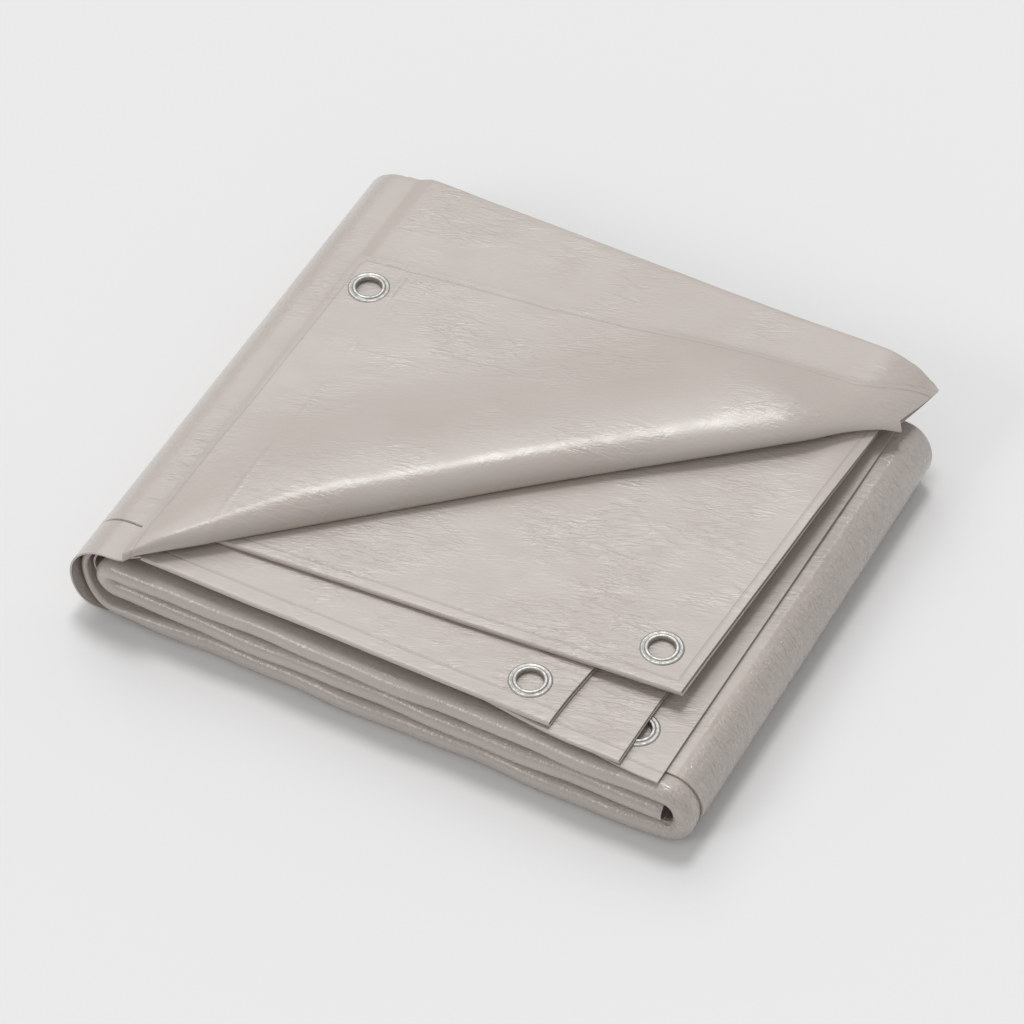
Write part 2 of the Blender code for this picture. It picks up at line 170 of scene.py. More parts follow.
def corner_block(share):
    """The turned-back corner: straight lines from its free edges to the roll, then two quarter ovals round the roll."""
    start = mix(FOLD_START, FOLD_END, share[:, None])
    along = (FOLD_END - FOLD_START) / np.linalg.norm(FOLD_END - FOLD_START)
    outward = np.array([along[1], -along[0]])
    height, width, skew, reach, low = roll_sizes(share)
    inner = start - outward * skew
    left = mix(FOLD_START, FLAP_CORNER, np.clip(share / CORNER_SHARE, 0.0, 1.0)[:, None])
    beyond = np.clip((share - CORNER_SHARE) / (1.0 - CORNER_SHARE), 0.0, 1.0)
    top = mix(FLAP_CORNER, FLAP_RIGHT, beyond[:, None])
    top[:, 1] += FLAP_TIP * smooth((top[:, 0] - 0.338) / 0.0365)
    edge = np.where((share <= CORNER_SHARE)[:, None], left, top)
    across = np.linspace(1.0, 0.0, FLAP_POINTS, endpoint=False)
    plan = inner[:, None] + (edge - inner)[:, None] * across[None, :, None]
    gone = np.linalg.norm(plan - inner[:, None], axis=2)
    lift = mix(height, FLAP_LIFT, smooth(gone / reach))
    slack = smooth(gone / 0.05) * smooth(share[:, None] / 0.2)
    wave = ripple(plan[..., 0], plan[..., 1], 0.0010) * slack
    flap = np.dstack([plan, leaf_height(0, plan[..., 0], plan[..., 1]) + lift + wave])
    angle = np.linspace(math.pi, 0.0, ROLL_POINTS + 1, endpoint=False)[None, :]
    upper = np.cos(angle) < 0.0
    out = np.where(upper, (width + skew) * np.sin(angle) - skew, width * np.sin(angle))
    rise = low - np.where(upper, height - low, low) * np.cos(angle)
    plan_roll = start[:, None] + outward * out[..., None]
    roll = np.dstack([plan_roll, leaf_height(0, plan_roll[..., 0], plan_roll[..., 1]) + rise])
    block = np.concatenate([flap, roll], axis=1)
    weld = np.minimum(line_gap(block[..., :2], FOLD_START, FLAP_CORNER) - 0.0045, top_edge_gap(block) - 0.0040)
    hem = np.full(weld.shape, FAR)
    curl = 0.40 * np.concatenate([1.0 - smooth(gone / 0.035), np.ones(roll.shape[:2])], axis=1)
    return block, weld, hem, curl, start


def press_gap(block, front, back):
    """Distance in X of points, signed, from a pressed line that runs straight between two places in plan."""
    share = (block[..., 1] - front[1]) / (back[1] - front[1])
    return block[..., 0] - mix(front[0], back[0], share)


def top_edge_gap(block):
    """Distance in Y of points from the turned corner's far edge, which rises to its tip at the right."""
    share = np.clip((block[..., 0] - FLAP_CORNER[0]) / (FLAP_RIGHT[0] - FLAP_CORNER[0]), 0.0, 1.0)
    edge = mix(FLAP_CORNER[1], FLAP_RIGHT[1], share) + FLAP_TIP * smooth((block[..., 0] - 0.338) / 0.0365)
    return np.abs(edge - block[..., 1])


def leaf_block(leaf, x_row, near):
    """One top leaf: rows across it and straight lines from its front edge to its back edge."""
    part = leaf_shares(leaf)[None, :]
    near = near[:, None]
    far = (back_edge(x_row) - 0.004 * (leaf // 2))[:, None]
    y = mix(near, far, part) * np.ones((len(x_row), 1))
    travel = ((x_row - LEFT_X) / (FOLD_END[0] - LEFT_X))[:, None]
    if leaf:
        x = mix(LEFT_X, right_edge(leaf, y), travel)
    else:
        x = x_row[:, None] + 0.0073 * travel**8 * part
    z = leaf_height(leaf, x, y)
    if leaf < WOUND_LEAVES:
        z = mix(TOP_LEAF_Z[0] - LEFT_DROP - LEFT_PITCH * leaf, z, smooth((x - 0.036) / 0.016))
    loose = smooth((x - 0.04) / 0.03) * (1.0 - 0.07 * leaf)
    z = z + ripple(x, y, 0.0008) * loose
    block = np.dstack([x, y, z])
    front = y - near
    side = right_edge(leaf, y) - x
    weld = np.full(x.shape, FAR)
    hem = np.full(x.shape, FAR)
    if leaf == 0:
        hem = y - 0.0250
    elif leaf == 1:
        weld = np.minimum(front - 0.0055, side - 0.0045)
    elif leaf == 3:
        weld = front - 0.0085
    elif leaf in (5, 7):
        weld = front - 0.0070
    order = slice(None) if leaf % 2 == 0 else slice(None, None, -1)
    return block[:, order], weld[:, order], hem[:, order]


def fold_block(before, after, side):
    """A half circle that joins one leaf's last point to the next leaf's first."""
    angle = (math.pi * np.arange(1, FOLD_POINTS + 1) / (FOLD_POINTS + 1))[None, :]
    radius = 0.5 * np.abs(before[:, 2] - after[:, 2])[:, None]
    share = (0.5 * (1.0 - np.cos(angle)))[..., None]
    block = before[:, None] + (after - before)[:, None] * share
    block[..., 1] += side * radius * np.sin(angle)
    return block


def turn(centre, radii, start, sweep, count):
    """Part of an oval: its points and the directions that face out from it."""
    angle = start + sweep * np.arange(count + 1) / count
    ring = np.stack([np.cos(angle), np.sin(angle)], axis=1)
    out = ring / np.array(radii)
    return np.array(centre) + ring * np.array(radii), out / np.linalg.norm(out, axis=1)[:, None]


def straight(x_values, z, facing):
    """A level run of the wound line, with its outward direction up or down."""
    x_values = np.asarray(x_values, float)
    points = np.stack([x_values, np.full_like(x_values, z)], axis=1)
    return points, np.tile([0.0, facing], (len(x_values), 1))


def wound_path():
    """The line that the folded strip is wound on: three ovals joined by level runs."""
    top = TOP_LEAF_Z[0] - LEFT_DROP - 1.5 * LEFT_PITCH
    pieces = (
        turn((LEFT_X, 0.5 * (top + LOW_Z)), (0.0205, 0.5 * (top - LOW_Z)), math.pi / 2, math.pi, 26),
        straight(np.linspace(0.042, 0.359, 34), LOW_Z, -1.0),
        turn((RIGHT_X, 0.5 * (LOW_Z + HIGH_Z)), (0.0105, 0.5 * (HIGH_Z - LOW_Z)), -math.pi / 2, math.pi, 24),
        straight(np.linspace(0.358, 0.043, 26), HIGH_Z, 1.0),
        turn((0.0345, 0.5 * (HIGH_Z + MIDDLE_Z)), (0.0078, 0.5 * (HIGH_Z - MIDDLE_Z)), math.pi / 2, math.pi, 16),
        straight(np.linspace(0.043, 0.3655, 24), MIDDLE_Z, -1.0),
    )
    points = np.concatenate([piece[0] for piece in pieces])
    facing = np.concatenate([piece[1] for piece in pieces])
    step = np.linalg.norm(np.diff(points, axis=0), axis=1)
    return points, facing, np.concatenate([[0.0], np.cumsum(step)])


def wound_block():
    """The four leaves that run round: the folded profile (y, offset) carried along the wound line."""
    points, facing, travelled = wound_path()
    travelled = travelled[:, None]
    settle = smooth(travelled / 0.07)
    pitch = mix(LEFT_PITCH, LEAF_PITCH, settle)
    spread = mix(0.5 * pitch, 0.0058, smooth((travelled - 0.060) / 0.055))
    back = mix(TOP_BACK_Y[0], LOW_BACK_Y, smooth(travelled / 0.35)) + 0.002 * np.sin(5.0 * travelled)
    stray = (0.0007 * np.sin(travelled * 47.0 + 1.0) + 0.0004 * np.sin(travelled * 113.0)) * settle
    folded = mix(float(front_edge(1, LEFT_X)), 0.0045, smooth(travelled / 0.025))
    folded = mix(folded, 0.0, smooth((travelled - 0.035) / 0.030))
    outer = mix(FRONT_Y, 0.0135, smooth((travelled - 0.045) / 0.045))
    inner = mix(float(front_edge(3, LEFT_X)), 0.0135, smooth((travelled - 0.020) / 0.060))
    fronts = (outer + stray, folded + stray, folded + stray, inner + stray)
    columns, levels, welds, hems, bends = [], [], [], [], []
    for leaf in range(WOUND_LEAVES):
        part = leaf_shares(leaf)[None, :]
        front = fronts[leaf]
        near = front + (spread if leaf in (1, 2) else 0.0)
        far = back - 0.5 * pitch
        y = mix(near, far, part)
        rest = (1.5 - leaf) * pitch * np.ones_like(y)
        if leaf in (1, 2):
            opening = 1.0 - smooth((y - near) / 0.022)
            rest = np.sign(1.5 - leaf) * mix(np.abs(rest), spread, opening)
        order = slice(None) if leaf % 2 == 0 else slice(None, None, -1)
        columns.append(y[:, order])
        levels.append(rest[:, order])
        welds.append(np.full_like(y, FAR))
        hems.append(np.where(travelled < 0.055, y - 0.0250, FAR)[:, order] if leaf == 0 else np.full_like(y, FAR))
        bends.append((0.8 * (1.0 - smooth((y - near) / 0.006)))[:, order] if leaf in (1, 2) else np.zeros_like(y))
        if leaf == WOUND_LEAVES - 1:
            break
        angle = (math.pi * np.arange(1, FOLD_POINTS + 1) / (FOLD_POINTS + 1))[None, :]
        if leaf % 2 == 0:
            columns.append(far + 0.5 * pitch * np.sin(angle))
            levels.append((1.0 - leaf) * pitch + 0.5 * pitch * np.cos(angle))
        else:
            columns.append(near - spread * np.sin(angle))
            levels.append(spread * np.cos(angle))
        welds.append(np.full_like(columns[-1], FAR))
        hems.append(np.full_like(columns[-1], FAR))
        bends.append(np.full_like(columns[-1], 0.8))
    y = np.concatenate(columns, axis=1)
    level = np.concatenate(levels, axis=1)
    level = level + 0.00022 * np.sin(travelled * 61.0 + 9.0 * y) * settle
    x = points[:, :1] + facing[:, :1] * level
    z = points[:, 1:] + facing[:, 1:] * level
    bend = np.maximum(np.clip(1.7 * np.abs(facing[:, :1]), 0.0, 1.0), np.concatenate(bends, axis=1))
    return np.dstack([x, y, z]), np.concatenate(welds, axis=1), np.concatenate(hems, axis=1), bend


def leaf_start(leaf):
    """First grid column of a leaf."""
    return FLAP_POINTS + ROLL_POINTS + 1 + sum(LEAF_POINTS[:leaf]) + FOLD_POINTS * leaf


def sheet_grid():
    """The whole sheet as one grid: points, the four pattern fields, and which cells hold cloth."""
    share = np.concatenate([
        np.linspace(1.0, CORNER_SHARE, 38, endpoint=False),
        np.linspace(CORNER_SHARE, 0.0, 53),
    ])
    corner, weld, hem, curl, start = corner_block(share)
    between = np.linspace(FOLD_START[0], LEFT_X, 5)[1:-1]
    x_row = np.concatenate([start[:, 0], between])
    corner = np.concatenate([corner, np.repeat(corner[-1:], len(between), axis=0)])
    weld = np.concatenate([weld, np.repeat(weld[-1:], len(between), axis=0)])
    hem = np.concatenate([hem, np.repeat(hem[-1:], len(between), axis=0)])
    curl = np.concatenate([curl, np.repeat(curl[-1:], len(between), axis=0)])
    blocks, welds, hems, curls = [corner], [weld], [hem], [curl]
    for leaf in range(LEAVES):
        near = front_edge(leaf, x_row)
        if leaf == 0:
            near = np.concatenate([start[:, 1], near[len(start) :]])
        block, weld, hem = leaf_block(leaf, x_row, near)
        if leaf:
            fold = fold_block(blocks[-1][:, -1], block[:, 0], 1.0 if leaf % 2 else -1.0)
            blocks.append(fold)
            welds.append(np.full(fold.shape[:2], FAR))
            hems.append(np.full(fold.shape[:2], FAR))
            curls.append(np.full(fold.shape[:2], 0.5))
        blocks.append(block)
        welds.append(weld)
        hems.append(hem)
        curls.append(np.zeros(block.shape[:2]))
    top = np.concatenate(blocks, axis=1)
    wound, wound_weld, wound_hem, wound_bend = wound_block()
    first, rows = leaf_start(0), len(top) + len(wound)
    points = np.zeros((rows, top.shape[1], 3))
    fields = np.full((rows, top.shape[1], 4), FAR)
    points[: len(top)] = top
    for place, field in enumerate((welds, hems, curls)):
        fields[: len(top), :, place] = np.concatenate(field, axis=1)
    width = wound.shape[1]
    points[len(top) :, first : first + width] = wound
    for place, field in enumerate((wound_weld, wound_hem, wound_bend)):
        fields[len(top) :, first : first + width, place] = field
    fields[..., 3] = -FAR
    fields[: len(share), :first, 3] = press_gap(points[: len(share), :first], (0.0780, 0.068), (0.0750, 0.256))
    outer = slice(first, first + LEAF_POINTS[0])
    fields[len(top) :, outer, 3] = press_gap(points[len(top) :, outer], (0.3668, 0.018), (0.3711, 0.290))
    cells = np.zeros((rows - 1, top.shape[1] - 1), bool)
    cells[: len(share) - 1, :first] = True
    cells[:, first : leaf_start(3) + LEAF_POINTS[3] - 1] = True
    cells[: len(share) - 4, leaf_start(3) :] = True
    open_eyelets(points, cells)
    return points, fields, cells


def open_eyelets(points, cells):
    """Takes out the cells under each eyelet, and draws the hole's edge on to one circle under the rim."""
    for leaf, centre in EYELETS.values():
        first = 0 if leaf < 0 else leaf_start(leaf)
        last = FLAP_POINTS if leaf < 0 else first + LEAF_POINTS[leaf] - 1
        block = points[:, first : last + 1, :2]
        middle = 0.25 * (block[:-1, :-1] + block[1:, :-1] + block[:-1, 1:] + block[1:, 1:])
        inside = np.linalg.norm(middle - centre, axis=2) < 0.0088
        inside[100:] = False
        cells[:, first:last][: len(inside)] &= ~inside
        touched = np.zeros(block.shape[:2], bool)
        for down in (0, 1):
            for across in (0, 1):
                touched[down : len(inside) + down, across : inside.shape[1] + across] |= inside
        offset = block - centre
        size = np.linalg.norm(offset, axis=2)
        rim = touched & (size > 0.001)
        scale = 0.0093 / np.maximum(size, 1e-6)
        block[rim] = (np.array(centre) + offset * scale[..., None])[rim]


def thicken(points, fields, cells, thickness):
    """A closed shell round the grid's cells: each point moved half the thickness both ways, and a wall on free edges."""
    columns = points.shape[1]
    row, column = np.nonzero(cells)
    corner = row * columns + column
    quads = np.stack([corner, corner + 1, corner + columns + 1, corner + columns], axis=1)
    _, first, index = np.unique(np.round(points.reshape(-1, 3), 7), axis=0, return_index=True, return_inverse=True)
    quads = index.reshape(-1)[quads]
    middle = points.reshape(-1, 3)[first]
    kept = fields.reshape(-1, fields.shape[2])[first]
    halves = np.concatenate([quads[:, [0, 1, 2]], quads[:, [0, 2, 3]]])
    real = (halves[:, 0] != halves[:, 1]) & (halves[:, 1] != halves[:, 2]) & (halves[:, 2] != halves[:, 0])
    halves = halves[real]
    cross = np.cross(middle[halves[:, 1]] - middle[halves[:, 0]], middle[halves[:, 2]] - middle[halves[:, 0]])
    normal = np.zeros_like(middle)
    for place in range(3):
        np.add.at(normal, halves[:, place], cross)
    normal = normal / np.maximum(np.linalg.norm(normal, axis=1), 1e-15)[:, None]
    count = len(middle)
    outer = middle + normal * thickness / 2
    inner = middle - normal * thickness / 2
    directed = np.concatenate([halves[:, [0, 1]], halves[:, [1, 2]], halves[:, [2, 0]]])
    code = directed[:, 0] * count + directed[:, 1]
    free = directed[~np.isin(code, directed[:, 1] * count + directed[:, 0])]
    walls = np.stack([free[:, 1], free[:, 0], free[:, 0] + count, free[:, 1] + count], axis=1)
    whole = np.array([len(set(quad)) == 4 for quad in quads.tolist()])
    broken = quads[~whole]
    squares = quads[whole]
    slim = [tuple(dict.fromkeys(quad)) for quad in broken.tolist()]
    slim = [face for face in slim if len(face) == 3]
    faces = squares.tolist() + (squares[:, ::-1] + count).tolist() + walls.tolist()
    faces += [list(face) for face in slim]
    faces += [[corner + count for corner in face[::-1]] for face in slim]
    return np.concatenate([outer, inner]), np.concatenate([kept, kept]), faces, len(walls)


def add_mesh(name, points, faces, material, attributes=None, sharp=40.0):
    """Makes a mesh object at the origin, smooth shaded, with its sharp edges kept and its pattern fields stored."""
    used, index = np.unique(np.concatenate([np.asarray(face) for face in faces]), return_inverse=True)
    sizes = np.cumsum([len(face) for face in faces])[:-1]
    mesh = bpy.data.meshes.new(name)
    mesh.from_pydata((np.asarray(points)[used] - ORIGIN).tolist(), [], [part.tolist() for part in np.split(index, sizes)])
    for label, values in (attributes or {}).items():
        layer = mesh.attributes.new(label, "FLOAT", "POINT")
        layer.data.foreach_set("value", np.asarray(values, np.float32)[used])
    mesh.materials.append(material)
    mesh.polygons.foreach_set("use_smooth", [True] * len(mesh.polygons))
    mesh.set_sharp_from_angle(angle=math.radians(sharp))
    mesh.update()
    piece = bpy.data.objects.new(name, mesh)
    bpy.context.scene.collection.objects.link(piece)
    return piece


class Wire:
    """A node socket that Python's arithmetic works on: each expression adds its Math node."""

    def __init__(self, paint, socket):
        self.paint = paint
        self.socket = socket

    def _math(self, operation, *others):
        return self.paint.node("ShaderNodeMath", {"operation": operation}, {i: v for i, v in enumerate((self, *others))})

    def __add__(self, other):
        return self._math("ADD", other)

    __radd__ = __add__

    def __mul__(self, other):
        return self._math("MULTIPLY", other)

    __rmul__ = __mul__

    def __sub__(self, other):
        return self._math("SUBTRACT", other)

    def __rsub__(self, other):
        return self._math("MULTIPLY_ADD", -1.0, other)

    def __truediv__(self, other):
        return self._math("DIVIDE", other)

    def __pow__(self, other):
        return self._math("POWER", other)

    def __abs__(self):
        return self._math("ABSOLUTE")

    def low(self, other):
        return self._math("MINIMUM", other)

    def high(self, other):
        return self._math("MAXIMUM", other)

    def sine(self):
        return self._math("SINE")

    def step(self, start, end, low=0.0, high=1.0):
        """Soft step from low to high as this value runs from start to end."""
        settings = {"interpolation_type": "SMOOTHSTEP"}
        values = {"Value": self, "From Min": start, "From Max": end, "To Min": low, "To Max": high}
        return self.paint.node("ShaderNodeMapRange", settings, values, "Result")


class Paint:
    """A material's node tree, filled by the methods below."""

    def __init__(self, name, colour):
        self.material = bpy.data.materials.new(name)
        self.material.use_nodes = True
        self.material.diffuse_color = (*colour[:3], 1.0)
        self.tree = self.material.node_tree
        self.shader = self.tree.nodes["Principled BSDF"]
        self.place = Wire(self, self.tree.nodes.new("ShaderNodeTexCoord").outputs["Object"])

    def node(self, kind, settings, values, output=0):
        made = self.tree.nodes.new(kind)
        for label, value in settings.items():
            setattr(made, label, value)
        for label, value in values.items():
            self.feed(made.inputs[label], value)
        return Wire(self, made.outputs[output])

    def feed(self, socket, value):
        if isinstance(value, Wire):
            self.tree.links.new(value.socket, socket)
        else:
            socket.default_value = value

    def set(self, **values):
        for label, value in values.items():
            self.feed(self.shader.inputs[label.replace("_", " ")], value)

    def field(self, label):
        return self.node("ShaderNodeAttribute", {"attribute_name": label}, {}, "Fac")

    def across(self):
        """How far to the right a point lies."""
        return self.node("ShaderNodeSeparateXYZ", {}, {"Vector": self.place}, "X")

    def mapped(self, scale, turn=(0.0, 0.0, 0.0), place=None):
        """Coordinates turned first and then stretched, so that a pattern can run long in a slanting direction."""
        values = {"Vector": place or self.place, "Scale": tuple(1.0 / part for part in scale), "Rotation": turn}
        return self.node("ShaderNodeMapping", {"vector_type": "TEXTURE"}, values, "Vector")

    def cloud(self, place, scale, detail=3.0, rough=0.55, warp=0.0):
        values = {"Vector": place, "Scale": scale, "Detail": detail, "Roughness": rough, "Distortion": warp}
        return self.node("ShaderNodeTexNoise", {}, values, "Fac")

    def cracks(self, place, scale):
        values = {"Vector": place, "Scale": scale, "Randomness": 1.0}
        return self.node("ShaderNodeTexVoronoi", {"feature": "DISTANCE_TO_EDGE"}, values, "Distance")

    def blend(self, share, one, two):
        made = self.tree.nodes.new("ShaderNodeMix")
        made.data_type = "RGBA"
        self.feed(made.inputs[0], share)
        self.feed(made.inputs[6], one)
        self.feed(made.inputs[7], two)
        return Wire(self, made.outputs[2])

    def bump(self, height, distance, strength=1.0, under=None):
        values = {"Height": height, "Distance": distance, "Strength": strength}
        if under is not None:
            values["Normal"] = under
        return self.node("ShaderNodeBump", {}, values, "Normal")


def warped(paint, scale, amount, detail=2.0):
    """Object coordinates pushed about by a soft noise, so that creases aren't straight or even."""
    push = paint.node("ShaderNodeTexNoise", {}, {"Vector": paint.place, "Scale": scale, "Detail": detail}, "Color")
    centred = paint.node("ShaderNodeVectorMath", {"operation": "SUBTRACT"}, {0: push, 1: (0.5, 0.5, 0.5)}, "Vector")
    sized = paint.node("ShaderNodeVectorMath", {"operation": "SCALE"}, {0: centred, "Scale": amount}, "Vector")
    return paint.node("ShaderNodeVectorMath", {"operation": "ADD"}, {0: paint.place, 1: sized}, "Vector")


def strokes(paint, angle, place):
    """Short ridges that run at an angle in plan, from a stretched noise folded about its middle."""
    turned = paint.mapped((1.0, 2.6, 1.0), (0.0, 0.0, math.radians(angle)), place)
    return 1.0 - abs(paint.cloud(turned, 170.0, 2.0, 0.5, 0.4) * 2.0 - 1.0)


def coated_cloth(settings):
    """Coated sheet: small slanting wavelets in patches, short glossy strokes where it bends, faint weld lines with
    painted shade in their grooves, and a painted shadow along the hem's raw edge.
    """
    light, dark = tuple(settings.cloth_light), tuple(settings.cloth_dark)
    paint = Paint("coated_cloth", light)
    weld, hem, bend, press = (paint.field(label) for label in ("weld_gap", "hem_gap", "bend", "press_gap"))
    strewn = warped(paint, 26.0, 0.007)
    patch = paint.cloud(paint.mapped((1.0, 1.4, 1.0), (0.0, 0.0, 0.5)), 15.0, 2.0).step(0.40, 0.64)
    wavelet = paint.mapped((1.0, 4.0, 1.0), (0.0, 0.0, math.radians(19.0)), strewn)
    ridge = 1.0 - abs(paint.cloud(wavelet, 88.0, 2.0, 0.5, 0.5) * 2.0 - 1.0)
    fine = paint.cloud(wavelet, 230.0, 3.0, 0.6)
    grain = paint.cloud(paint.place, 800.0, 2.0)
    drawn = paint.mapped((1.0, 3.4, 1.0), (0.0, 0.0, math.radians(9.0)), warped(paint, 8.0, 0.018))
    crease = 1.0 - abs(paint.cloud(drawn, 19.0, 2.0, 0.5, 0.6) * 2.0 - 1.0)
    side = paint.across().step(0.160, 0.170)
    pinch = strokes(paint, 72.0, strewn) * (1.0 - side) + strokes(paint, 165.0, strewn) * side
    bent = bend.step(0.1, 1.0)
    busy = patch * 0.8 + 0.2
    flat = (ridge**3.0) * 0.50 * busy + fine * 0.26 * busy + (crease**9.0) * 0.50 * patch
    height = (flat * (1.0 - bent * 0.5) + (pinch**2.0) * bent * (side * 0.90 + 0.50) + grain * 0.035) * settings.crinkle
    weld_dip = 1.0 - abs(weld).step(0.0002, 0.0010)
    raised = 1.0 - hem.step(-0.0003, 0.0003)
    pressed = (1.0 - abs(press).step(0.0, 0.0030)) * patch.step(0.0, 1.0, 0.35, 1.0)
    normal = paint.bump(height, 0.00050)
    normal = paint.bump(raised, 0.0008, 1.0, normal)
    normal = paint.bump(weld_dip * -1.0, 0.0003, 0.7, normal)
    normal = paint.bump(pressed, 0.0005, 0.8, normal)
    paint.set(Normal=normal)
    broad = paint.cloud(paint.place, 9.0, 3.0)
    colour = paint.blend(broad.step(0.3, 0.7), light, dark)
    # Painted shade: a faint darkening in the weld grooves, and a painted shadow along the step of the hem's raw edge,
    # both mixed towards a dark tone.
    shade = (weld_dip * 0.10).high((1.0 - abs(hem - 0.0004).step(0.0003, 0.0012)) * 0.85)
    colour = paint.blend(shade, colour, tuple(0.30 * part for part in dark[:3]) + (1.0,))
    paint.set(Base_Color=colour)
    gloss = paint.cloud(paint.mapped((1.0, 1.8, 1.0), (0.0, 0.0, 0.4)), 38.0, 4.0, 0.6)
    even = gloss.step(0.3, 0.7, settings.gloss_low, settings.gloss_high)
    paint.set(Roughness=even * (1.0 - bent * 0.50) * (1.0 - pressed * 0.2), Coat_Weight=bent * 0.35 + 0.22)
    for label, value in (("Specular IOR Level", 0.60), ("Coat Roughness", 0.22)):
        paint.shader.inputs[label].default_value = value
    return paint.material


def eyelet_metal(settings):
    """Stamped, bright metal with faint fine unevenness and a little uneven polish."""
    colour = tuple(settings.metal)
    paint = Paint("eyelet_metal", colour)
    worn = paint.cloud(paint.place, 420.0, 3.0)
    paint.set(Base_Color=paint.blend(worn.step(0.35, 0.7), colour, tuple(0.80 * part for part in colour[:3]) + (1.0,)))
    paint.set(Roughness=worn.step(0.3, 0.7, 0.42, 0.58))
    paint.set(Normal=paint.bump(worn, 0.00005, 0.6))
    paint.shader.inputs["Metallic"].default_value = 1.0
    return paint.material


def studio_floor(settings):
    """Plain matt backdrop with the faintest unevenness."""
    shade = settings.floor_shade
    paint = Paint("studio_floor", (shade, shade, shade))
    faint = paint.cloud(paint.place, 3.0, 2.0)
    light, dark = (shade, shade, shade, 1.0), (shade * 0.995, shade * 0.995, shade * 0.995, 1.0)
    paint.set(Base_Color=paint.blend(faint, light, dark), Roughness=0.95)
    return paint.material


def eyelet_profile():
    """Radius and height round an eyelet's rim, above the cloth's middle: neck, rolled lip, groove and flange edge."""
    lip = np.linspace(math.pi * 0.95, math.pi * 0.12, 12)
    radius = 0.0084 + 0.0011 * np.cos(lip)
    height = 0.00115 + 0.00062 * np.sin(lip)
    flange = np.array([
        (0.00965, 0.00112),
        (0.00985, 0.00100),
        (0.01010, 0.00104),
        (0.01050, 0.00124),
        (0.01090, 0.00126),
        (0.01130, 0.00112),
        (0.01180, 0.00086),
        (0.01200, 0.00062),
        (0.01196, 0.00040),
        (0.00960, 0.00040),
        (0.00800, 0.00020),
        (0.00800, -0.00100),
        (0.00735, -0.00100),
        (0.00728, 0.00020),
    ])
    return np.concatenate([np.stack([radius, height], axis=1), flange])


def eyelet_shape(leaf, centre):
    """The rim's closed profile turned round the eyelet's axis, tilted to lie on its leaf."""
    profile = eyelet_profile()
    angle = math.tau * np.arange(96) / 96
    x = profile[None, :, 0] * np.cos(angle)[:, None]
    y = profile[None, :, 0] * np.sin(angle)[:, None]
    step = 0.010

    def surface(at_x, at_y):
        return leaf_height(0, at_x, at_y) + FLAP_LIFT if leaf < 0 else leaf_height(leaf, at_x, at_y)

    tilt_x = (surface(centre[0] + step, centre[1]) - surface(centre[0] - step, centre[1])) / (2 * step)
    tilt_y = (surface(centre[0], centre[1] + step) - surface(centre[0], centre[1] - step)) / (2 * step)
    loose = 1.0 if leaf < 0 else 1.0 - 0.07 * leaf
    wave = ripple(np.array(centre[0]), np.array(centre[1]), 0.0010 if leaf < 0 else 0.0008) * loose
    z = surface(*centre) + wave + profile[None, :, 1] + tilt_x * x + tilt_y * y
    points = np.dstack([x + centre[0], y + centre[1], z]).reshape(-1, 3)
    size = len(profile)
    here = (np.arange(96) * size)[:, None]
    ahead = (np.roll(np.arange(96), -1) * size)[:, None]
    one = np.arange(size)[None, :]
    two = np.roll(np.arange(size), -1)[None, :]
    return points, np.stack([here + one, here + two, ahead + two, ahead + one], axis=2).reshape(-1, 4)


class TarpSettings(bpy.types.PropertyGroup):
    """What a user would change on the tarp."""

    thickness: FloatProperty(
        name="Sheet thickness", description="Thickness of the coated sheet", default=0.0011, min=0.0005, max=0.003, unit="LENGTH"
    )
    crinkle: FloatProperty(name="Crinkle", description="How deep the fine crinkles are", default=1.0, min=0.0, max=3.0)
    gloss_low: FloatProperty(name="Smoothest", description="Roughness of the glossiest patches", default=0.30, min=0.0, max=1.0)
    gloss_high: FloatProperty(name="Dullest", description="Roughness of the dullest patches", default=0.46, min=0.0, max=1.0)
    cloth_light: FloatVectorProperty(
        name="Light tone", description="Lighter tone of the sheet", subtype="COLOR", size=4, default=(0.506, 0.453, 0.414, 1.0)
    )
    cloth_dark: FloatVectorProperty(
        name="Dark tone", description="Darker tone of the sheet", subtype="COLOR", size=4, default=(0.478, 0.425, 0.384, 1.0)
    )
    metal: FloatVectorProperty(
        name="Metal", description="Colour of the eyelets", subtype="COLOR", size=4, default=(0.50, 0.49, 0.465, 1.0)
    )


class StudioSettings(bpy.types.PropertyGroup):
    """Camera and light."""

    azimuth: FloatProperty(name="Azimuth", description="Camera direction from the front", default=math.radians(28.0), subtype="ANGLE")
    elevation: FloatProperty(name="Elevation", description="Camera height angle", default=math.radians(47.6), subtype="ANGLE")
    distance: FloatProperty(name="Distance", description="Camera distance", default=2.7778, unit="LENGTH")
    lens: FloatProperty(name="Lens", description="Focal length in millimetres", default=175.78, min=10.0, max=500.0)
    key_power: FloatProperty(name="Key light", description="Strength of the broad light from the back left", default=0.65, min=0.0)
    top_power: FloatProperty(name="Top light", description="Strength of the narrower light from above", default=0.95, min=0.0)
    fill_power: FloatProperty(name="Fill light", description="Strength of the low light from the front left", default=0.38, min=0.0)
    sky: FloatProperty(name="Sky", description="Strength of the even light", default=0.50, min=0.0)
    floor_shade: FloatProperty(name="Floor shade", description="How pale the floor is", default=0.82, min=0.0, max=1.0)
    floor_size: FloatProperty(name="Floor size", description="Width of the floor", default=14.0, unit="LENGTH")
    floor_points: IntProperty(name="Floor points", description="Grid points along each side of the floor", default=5, min=2)


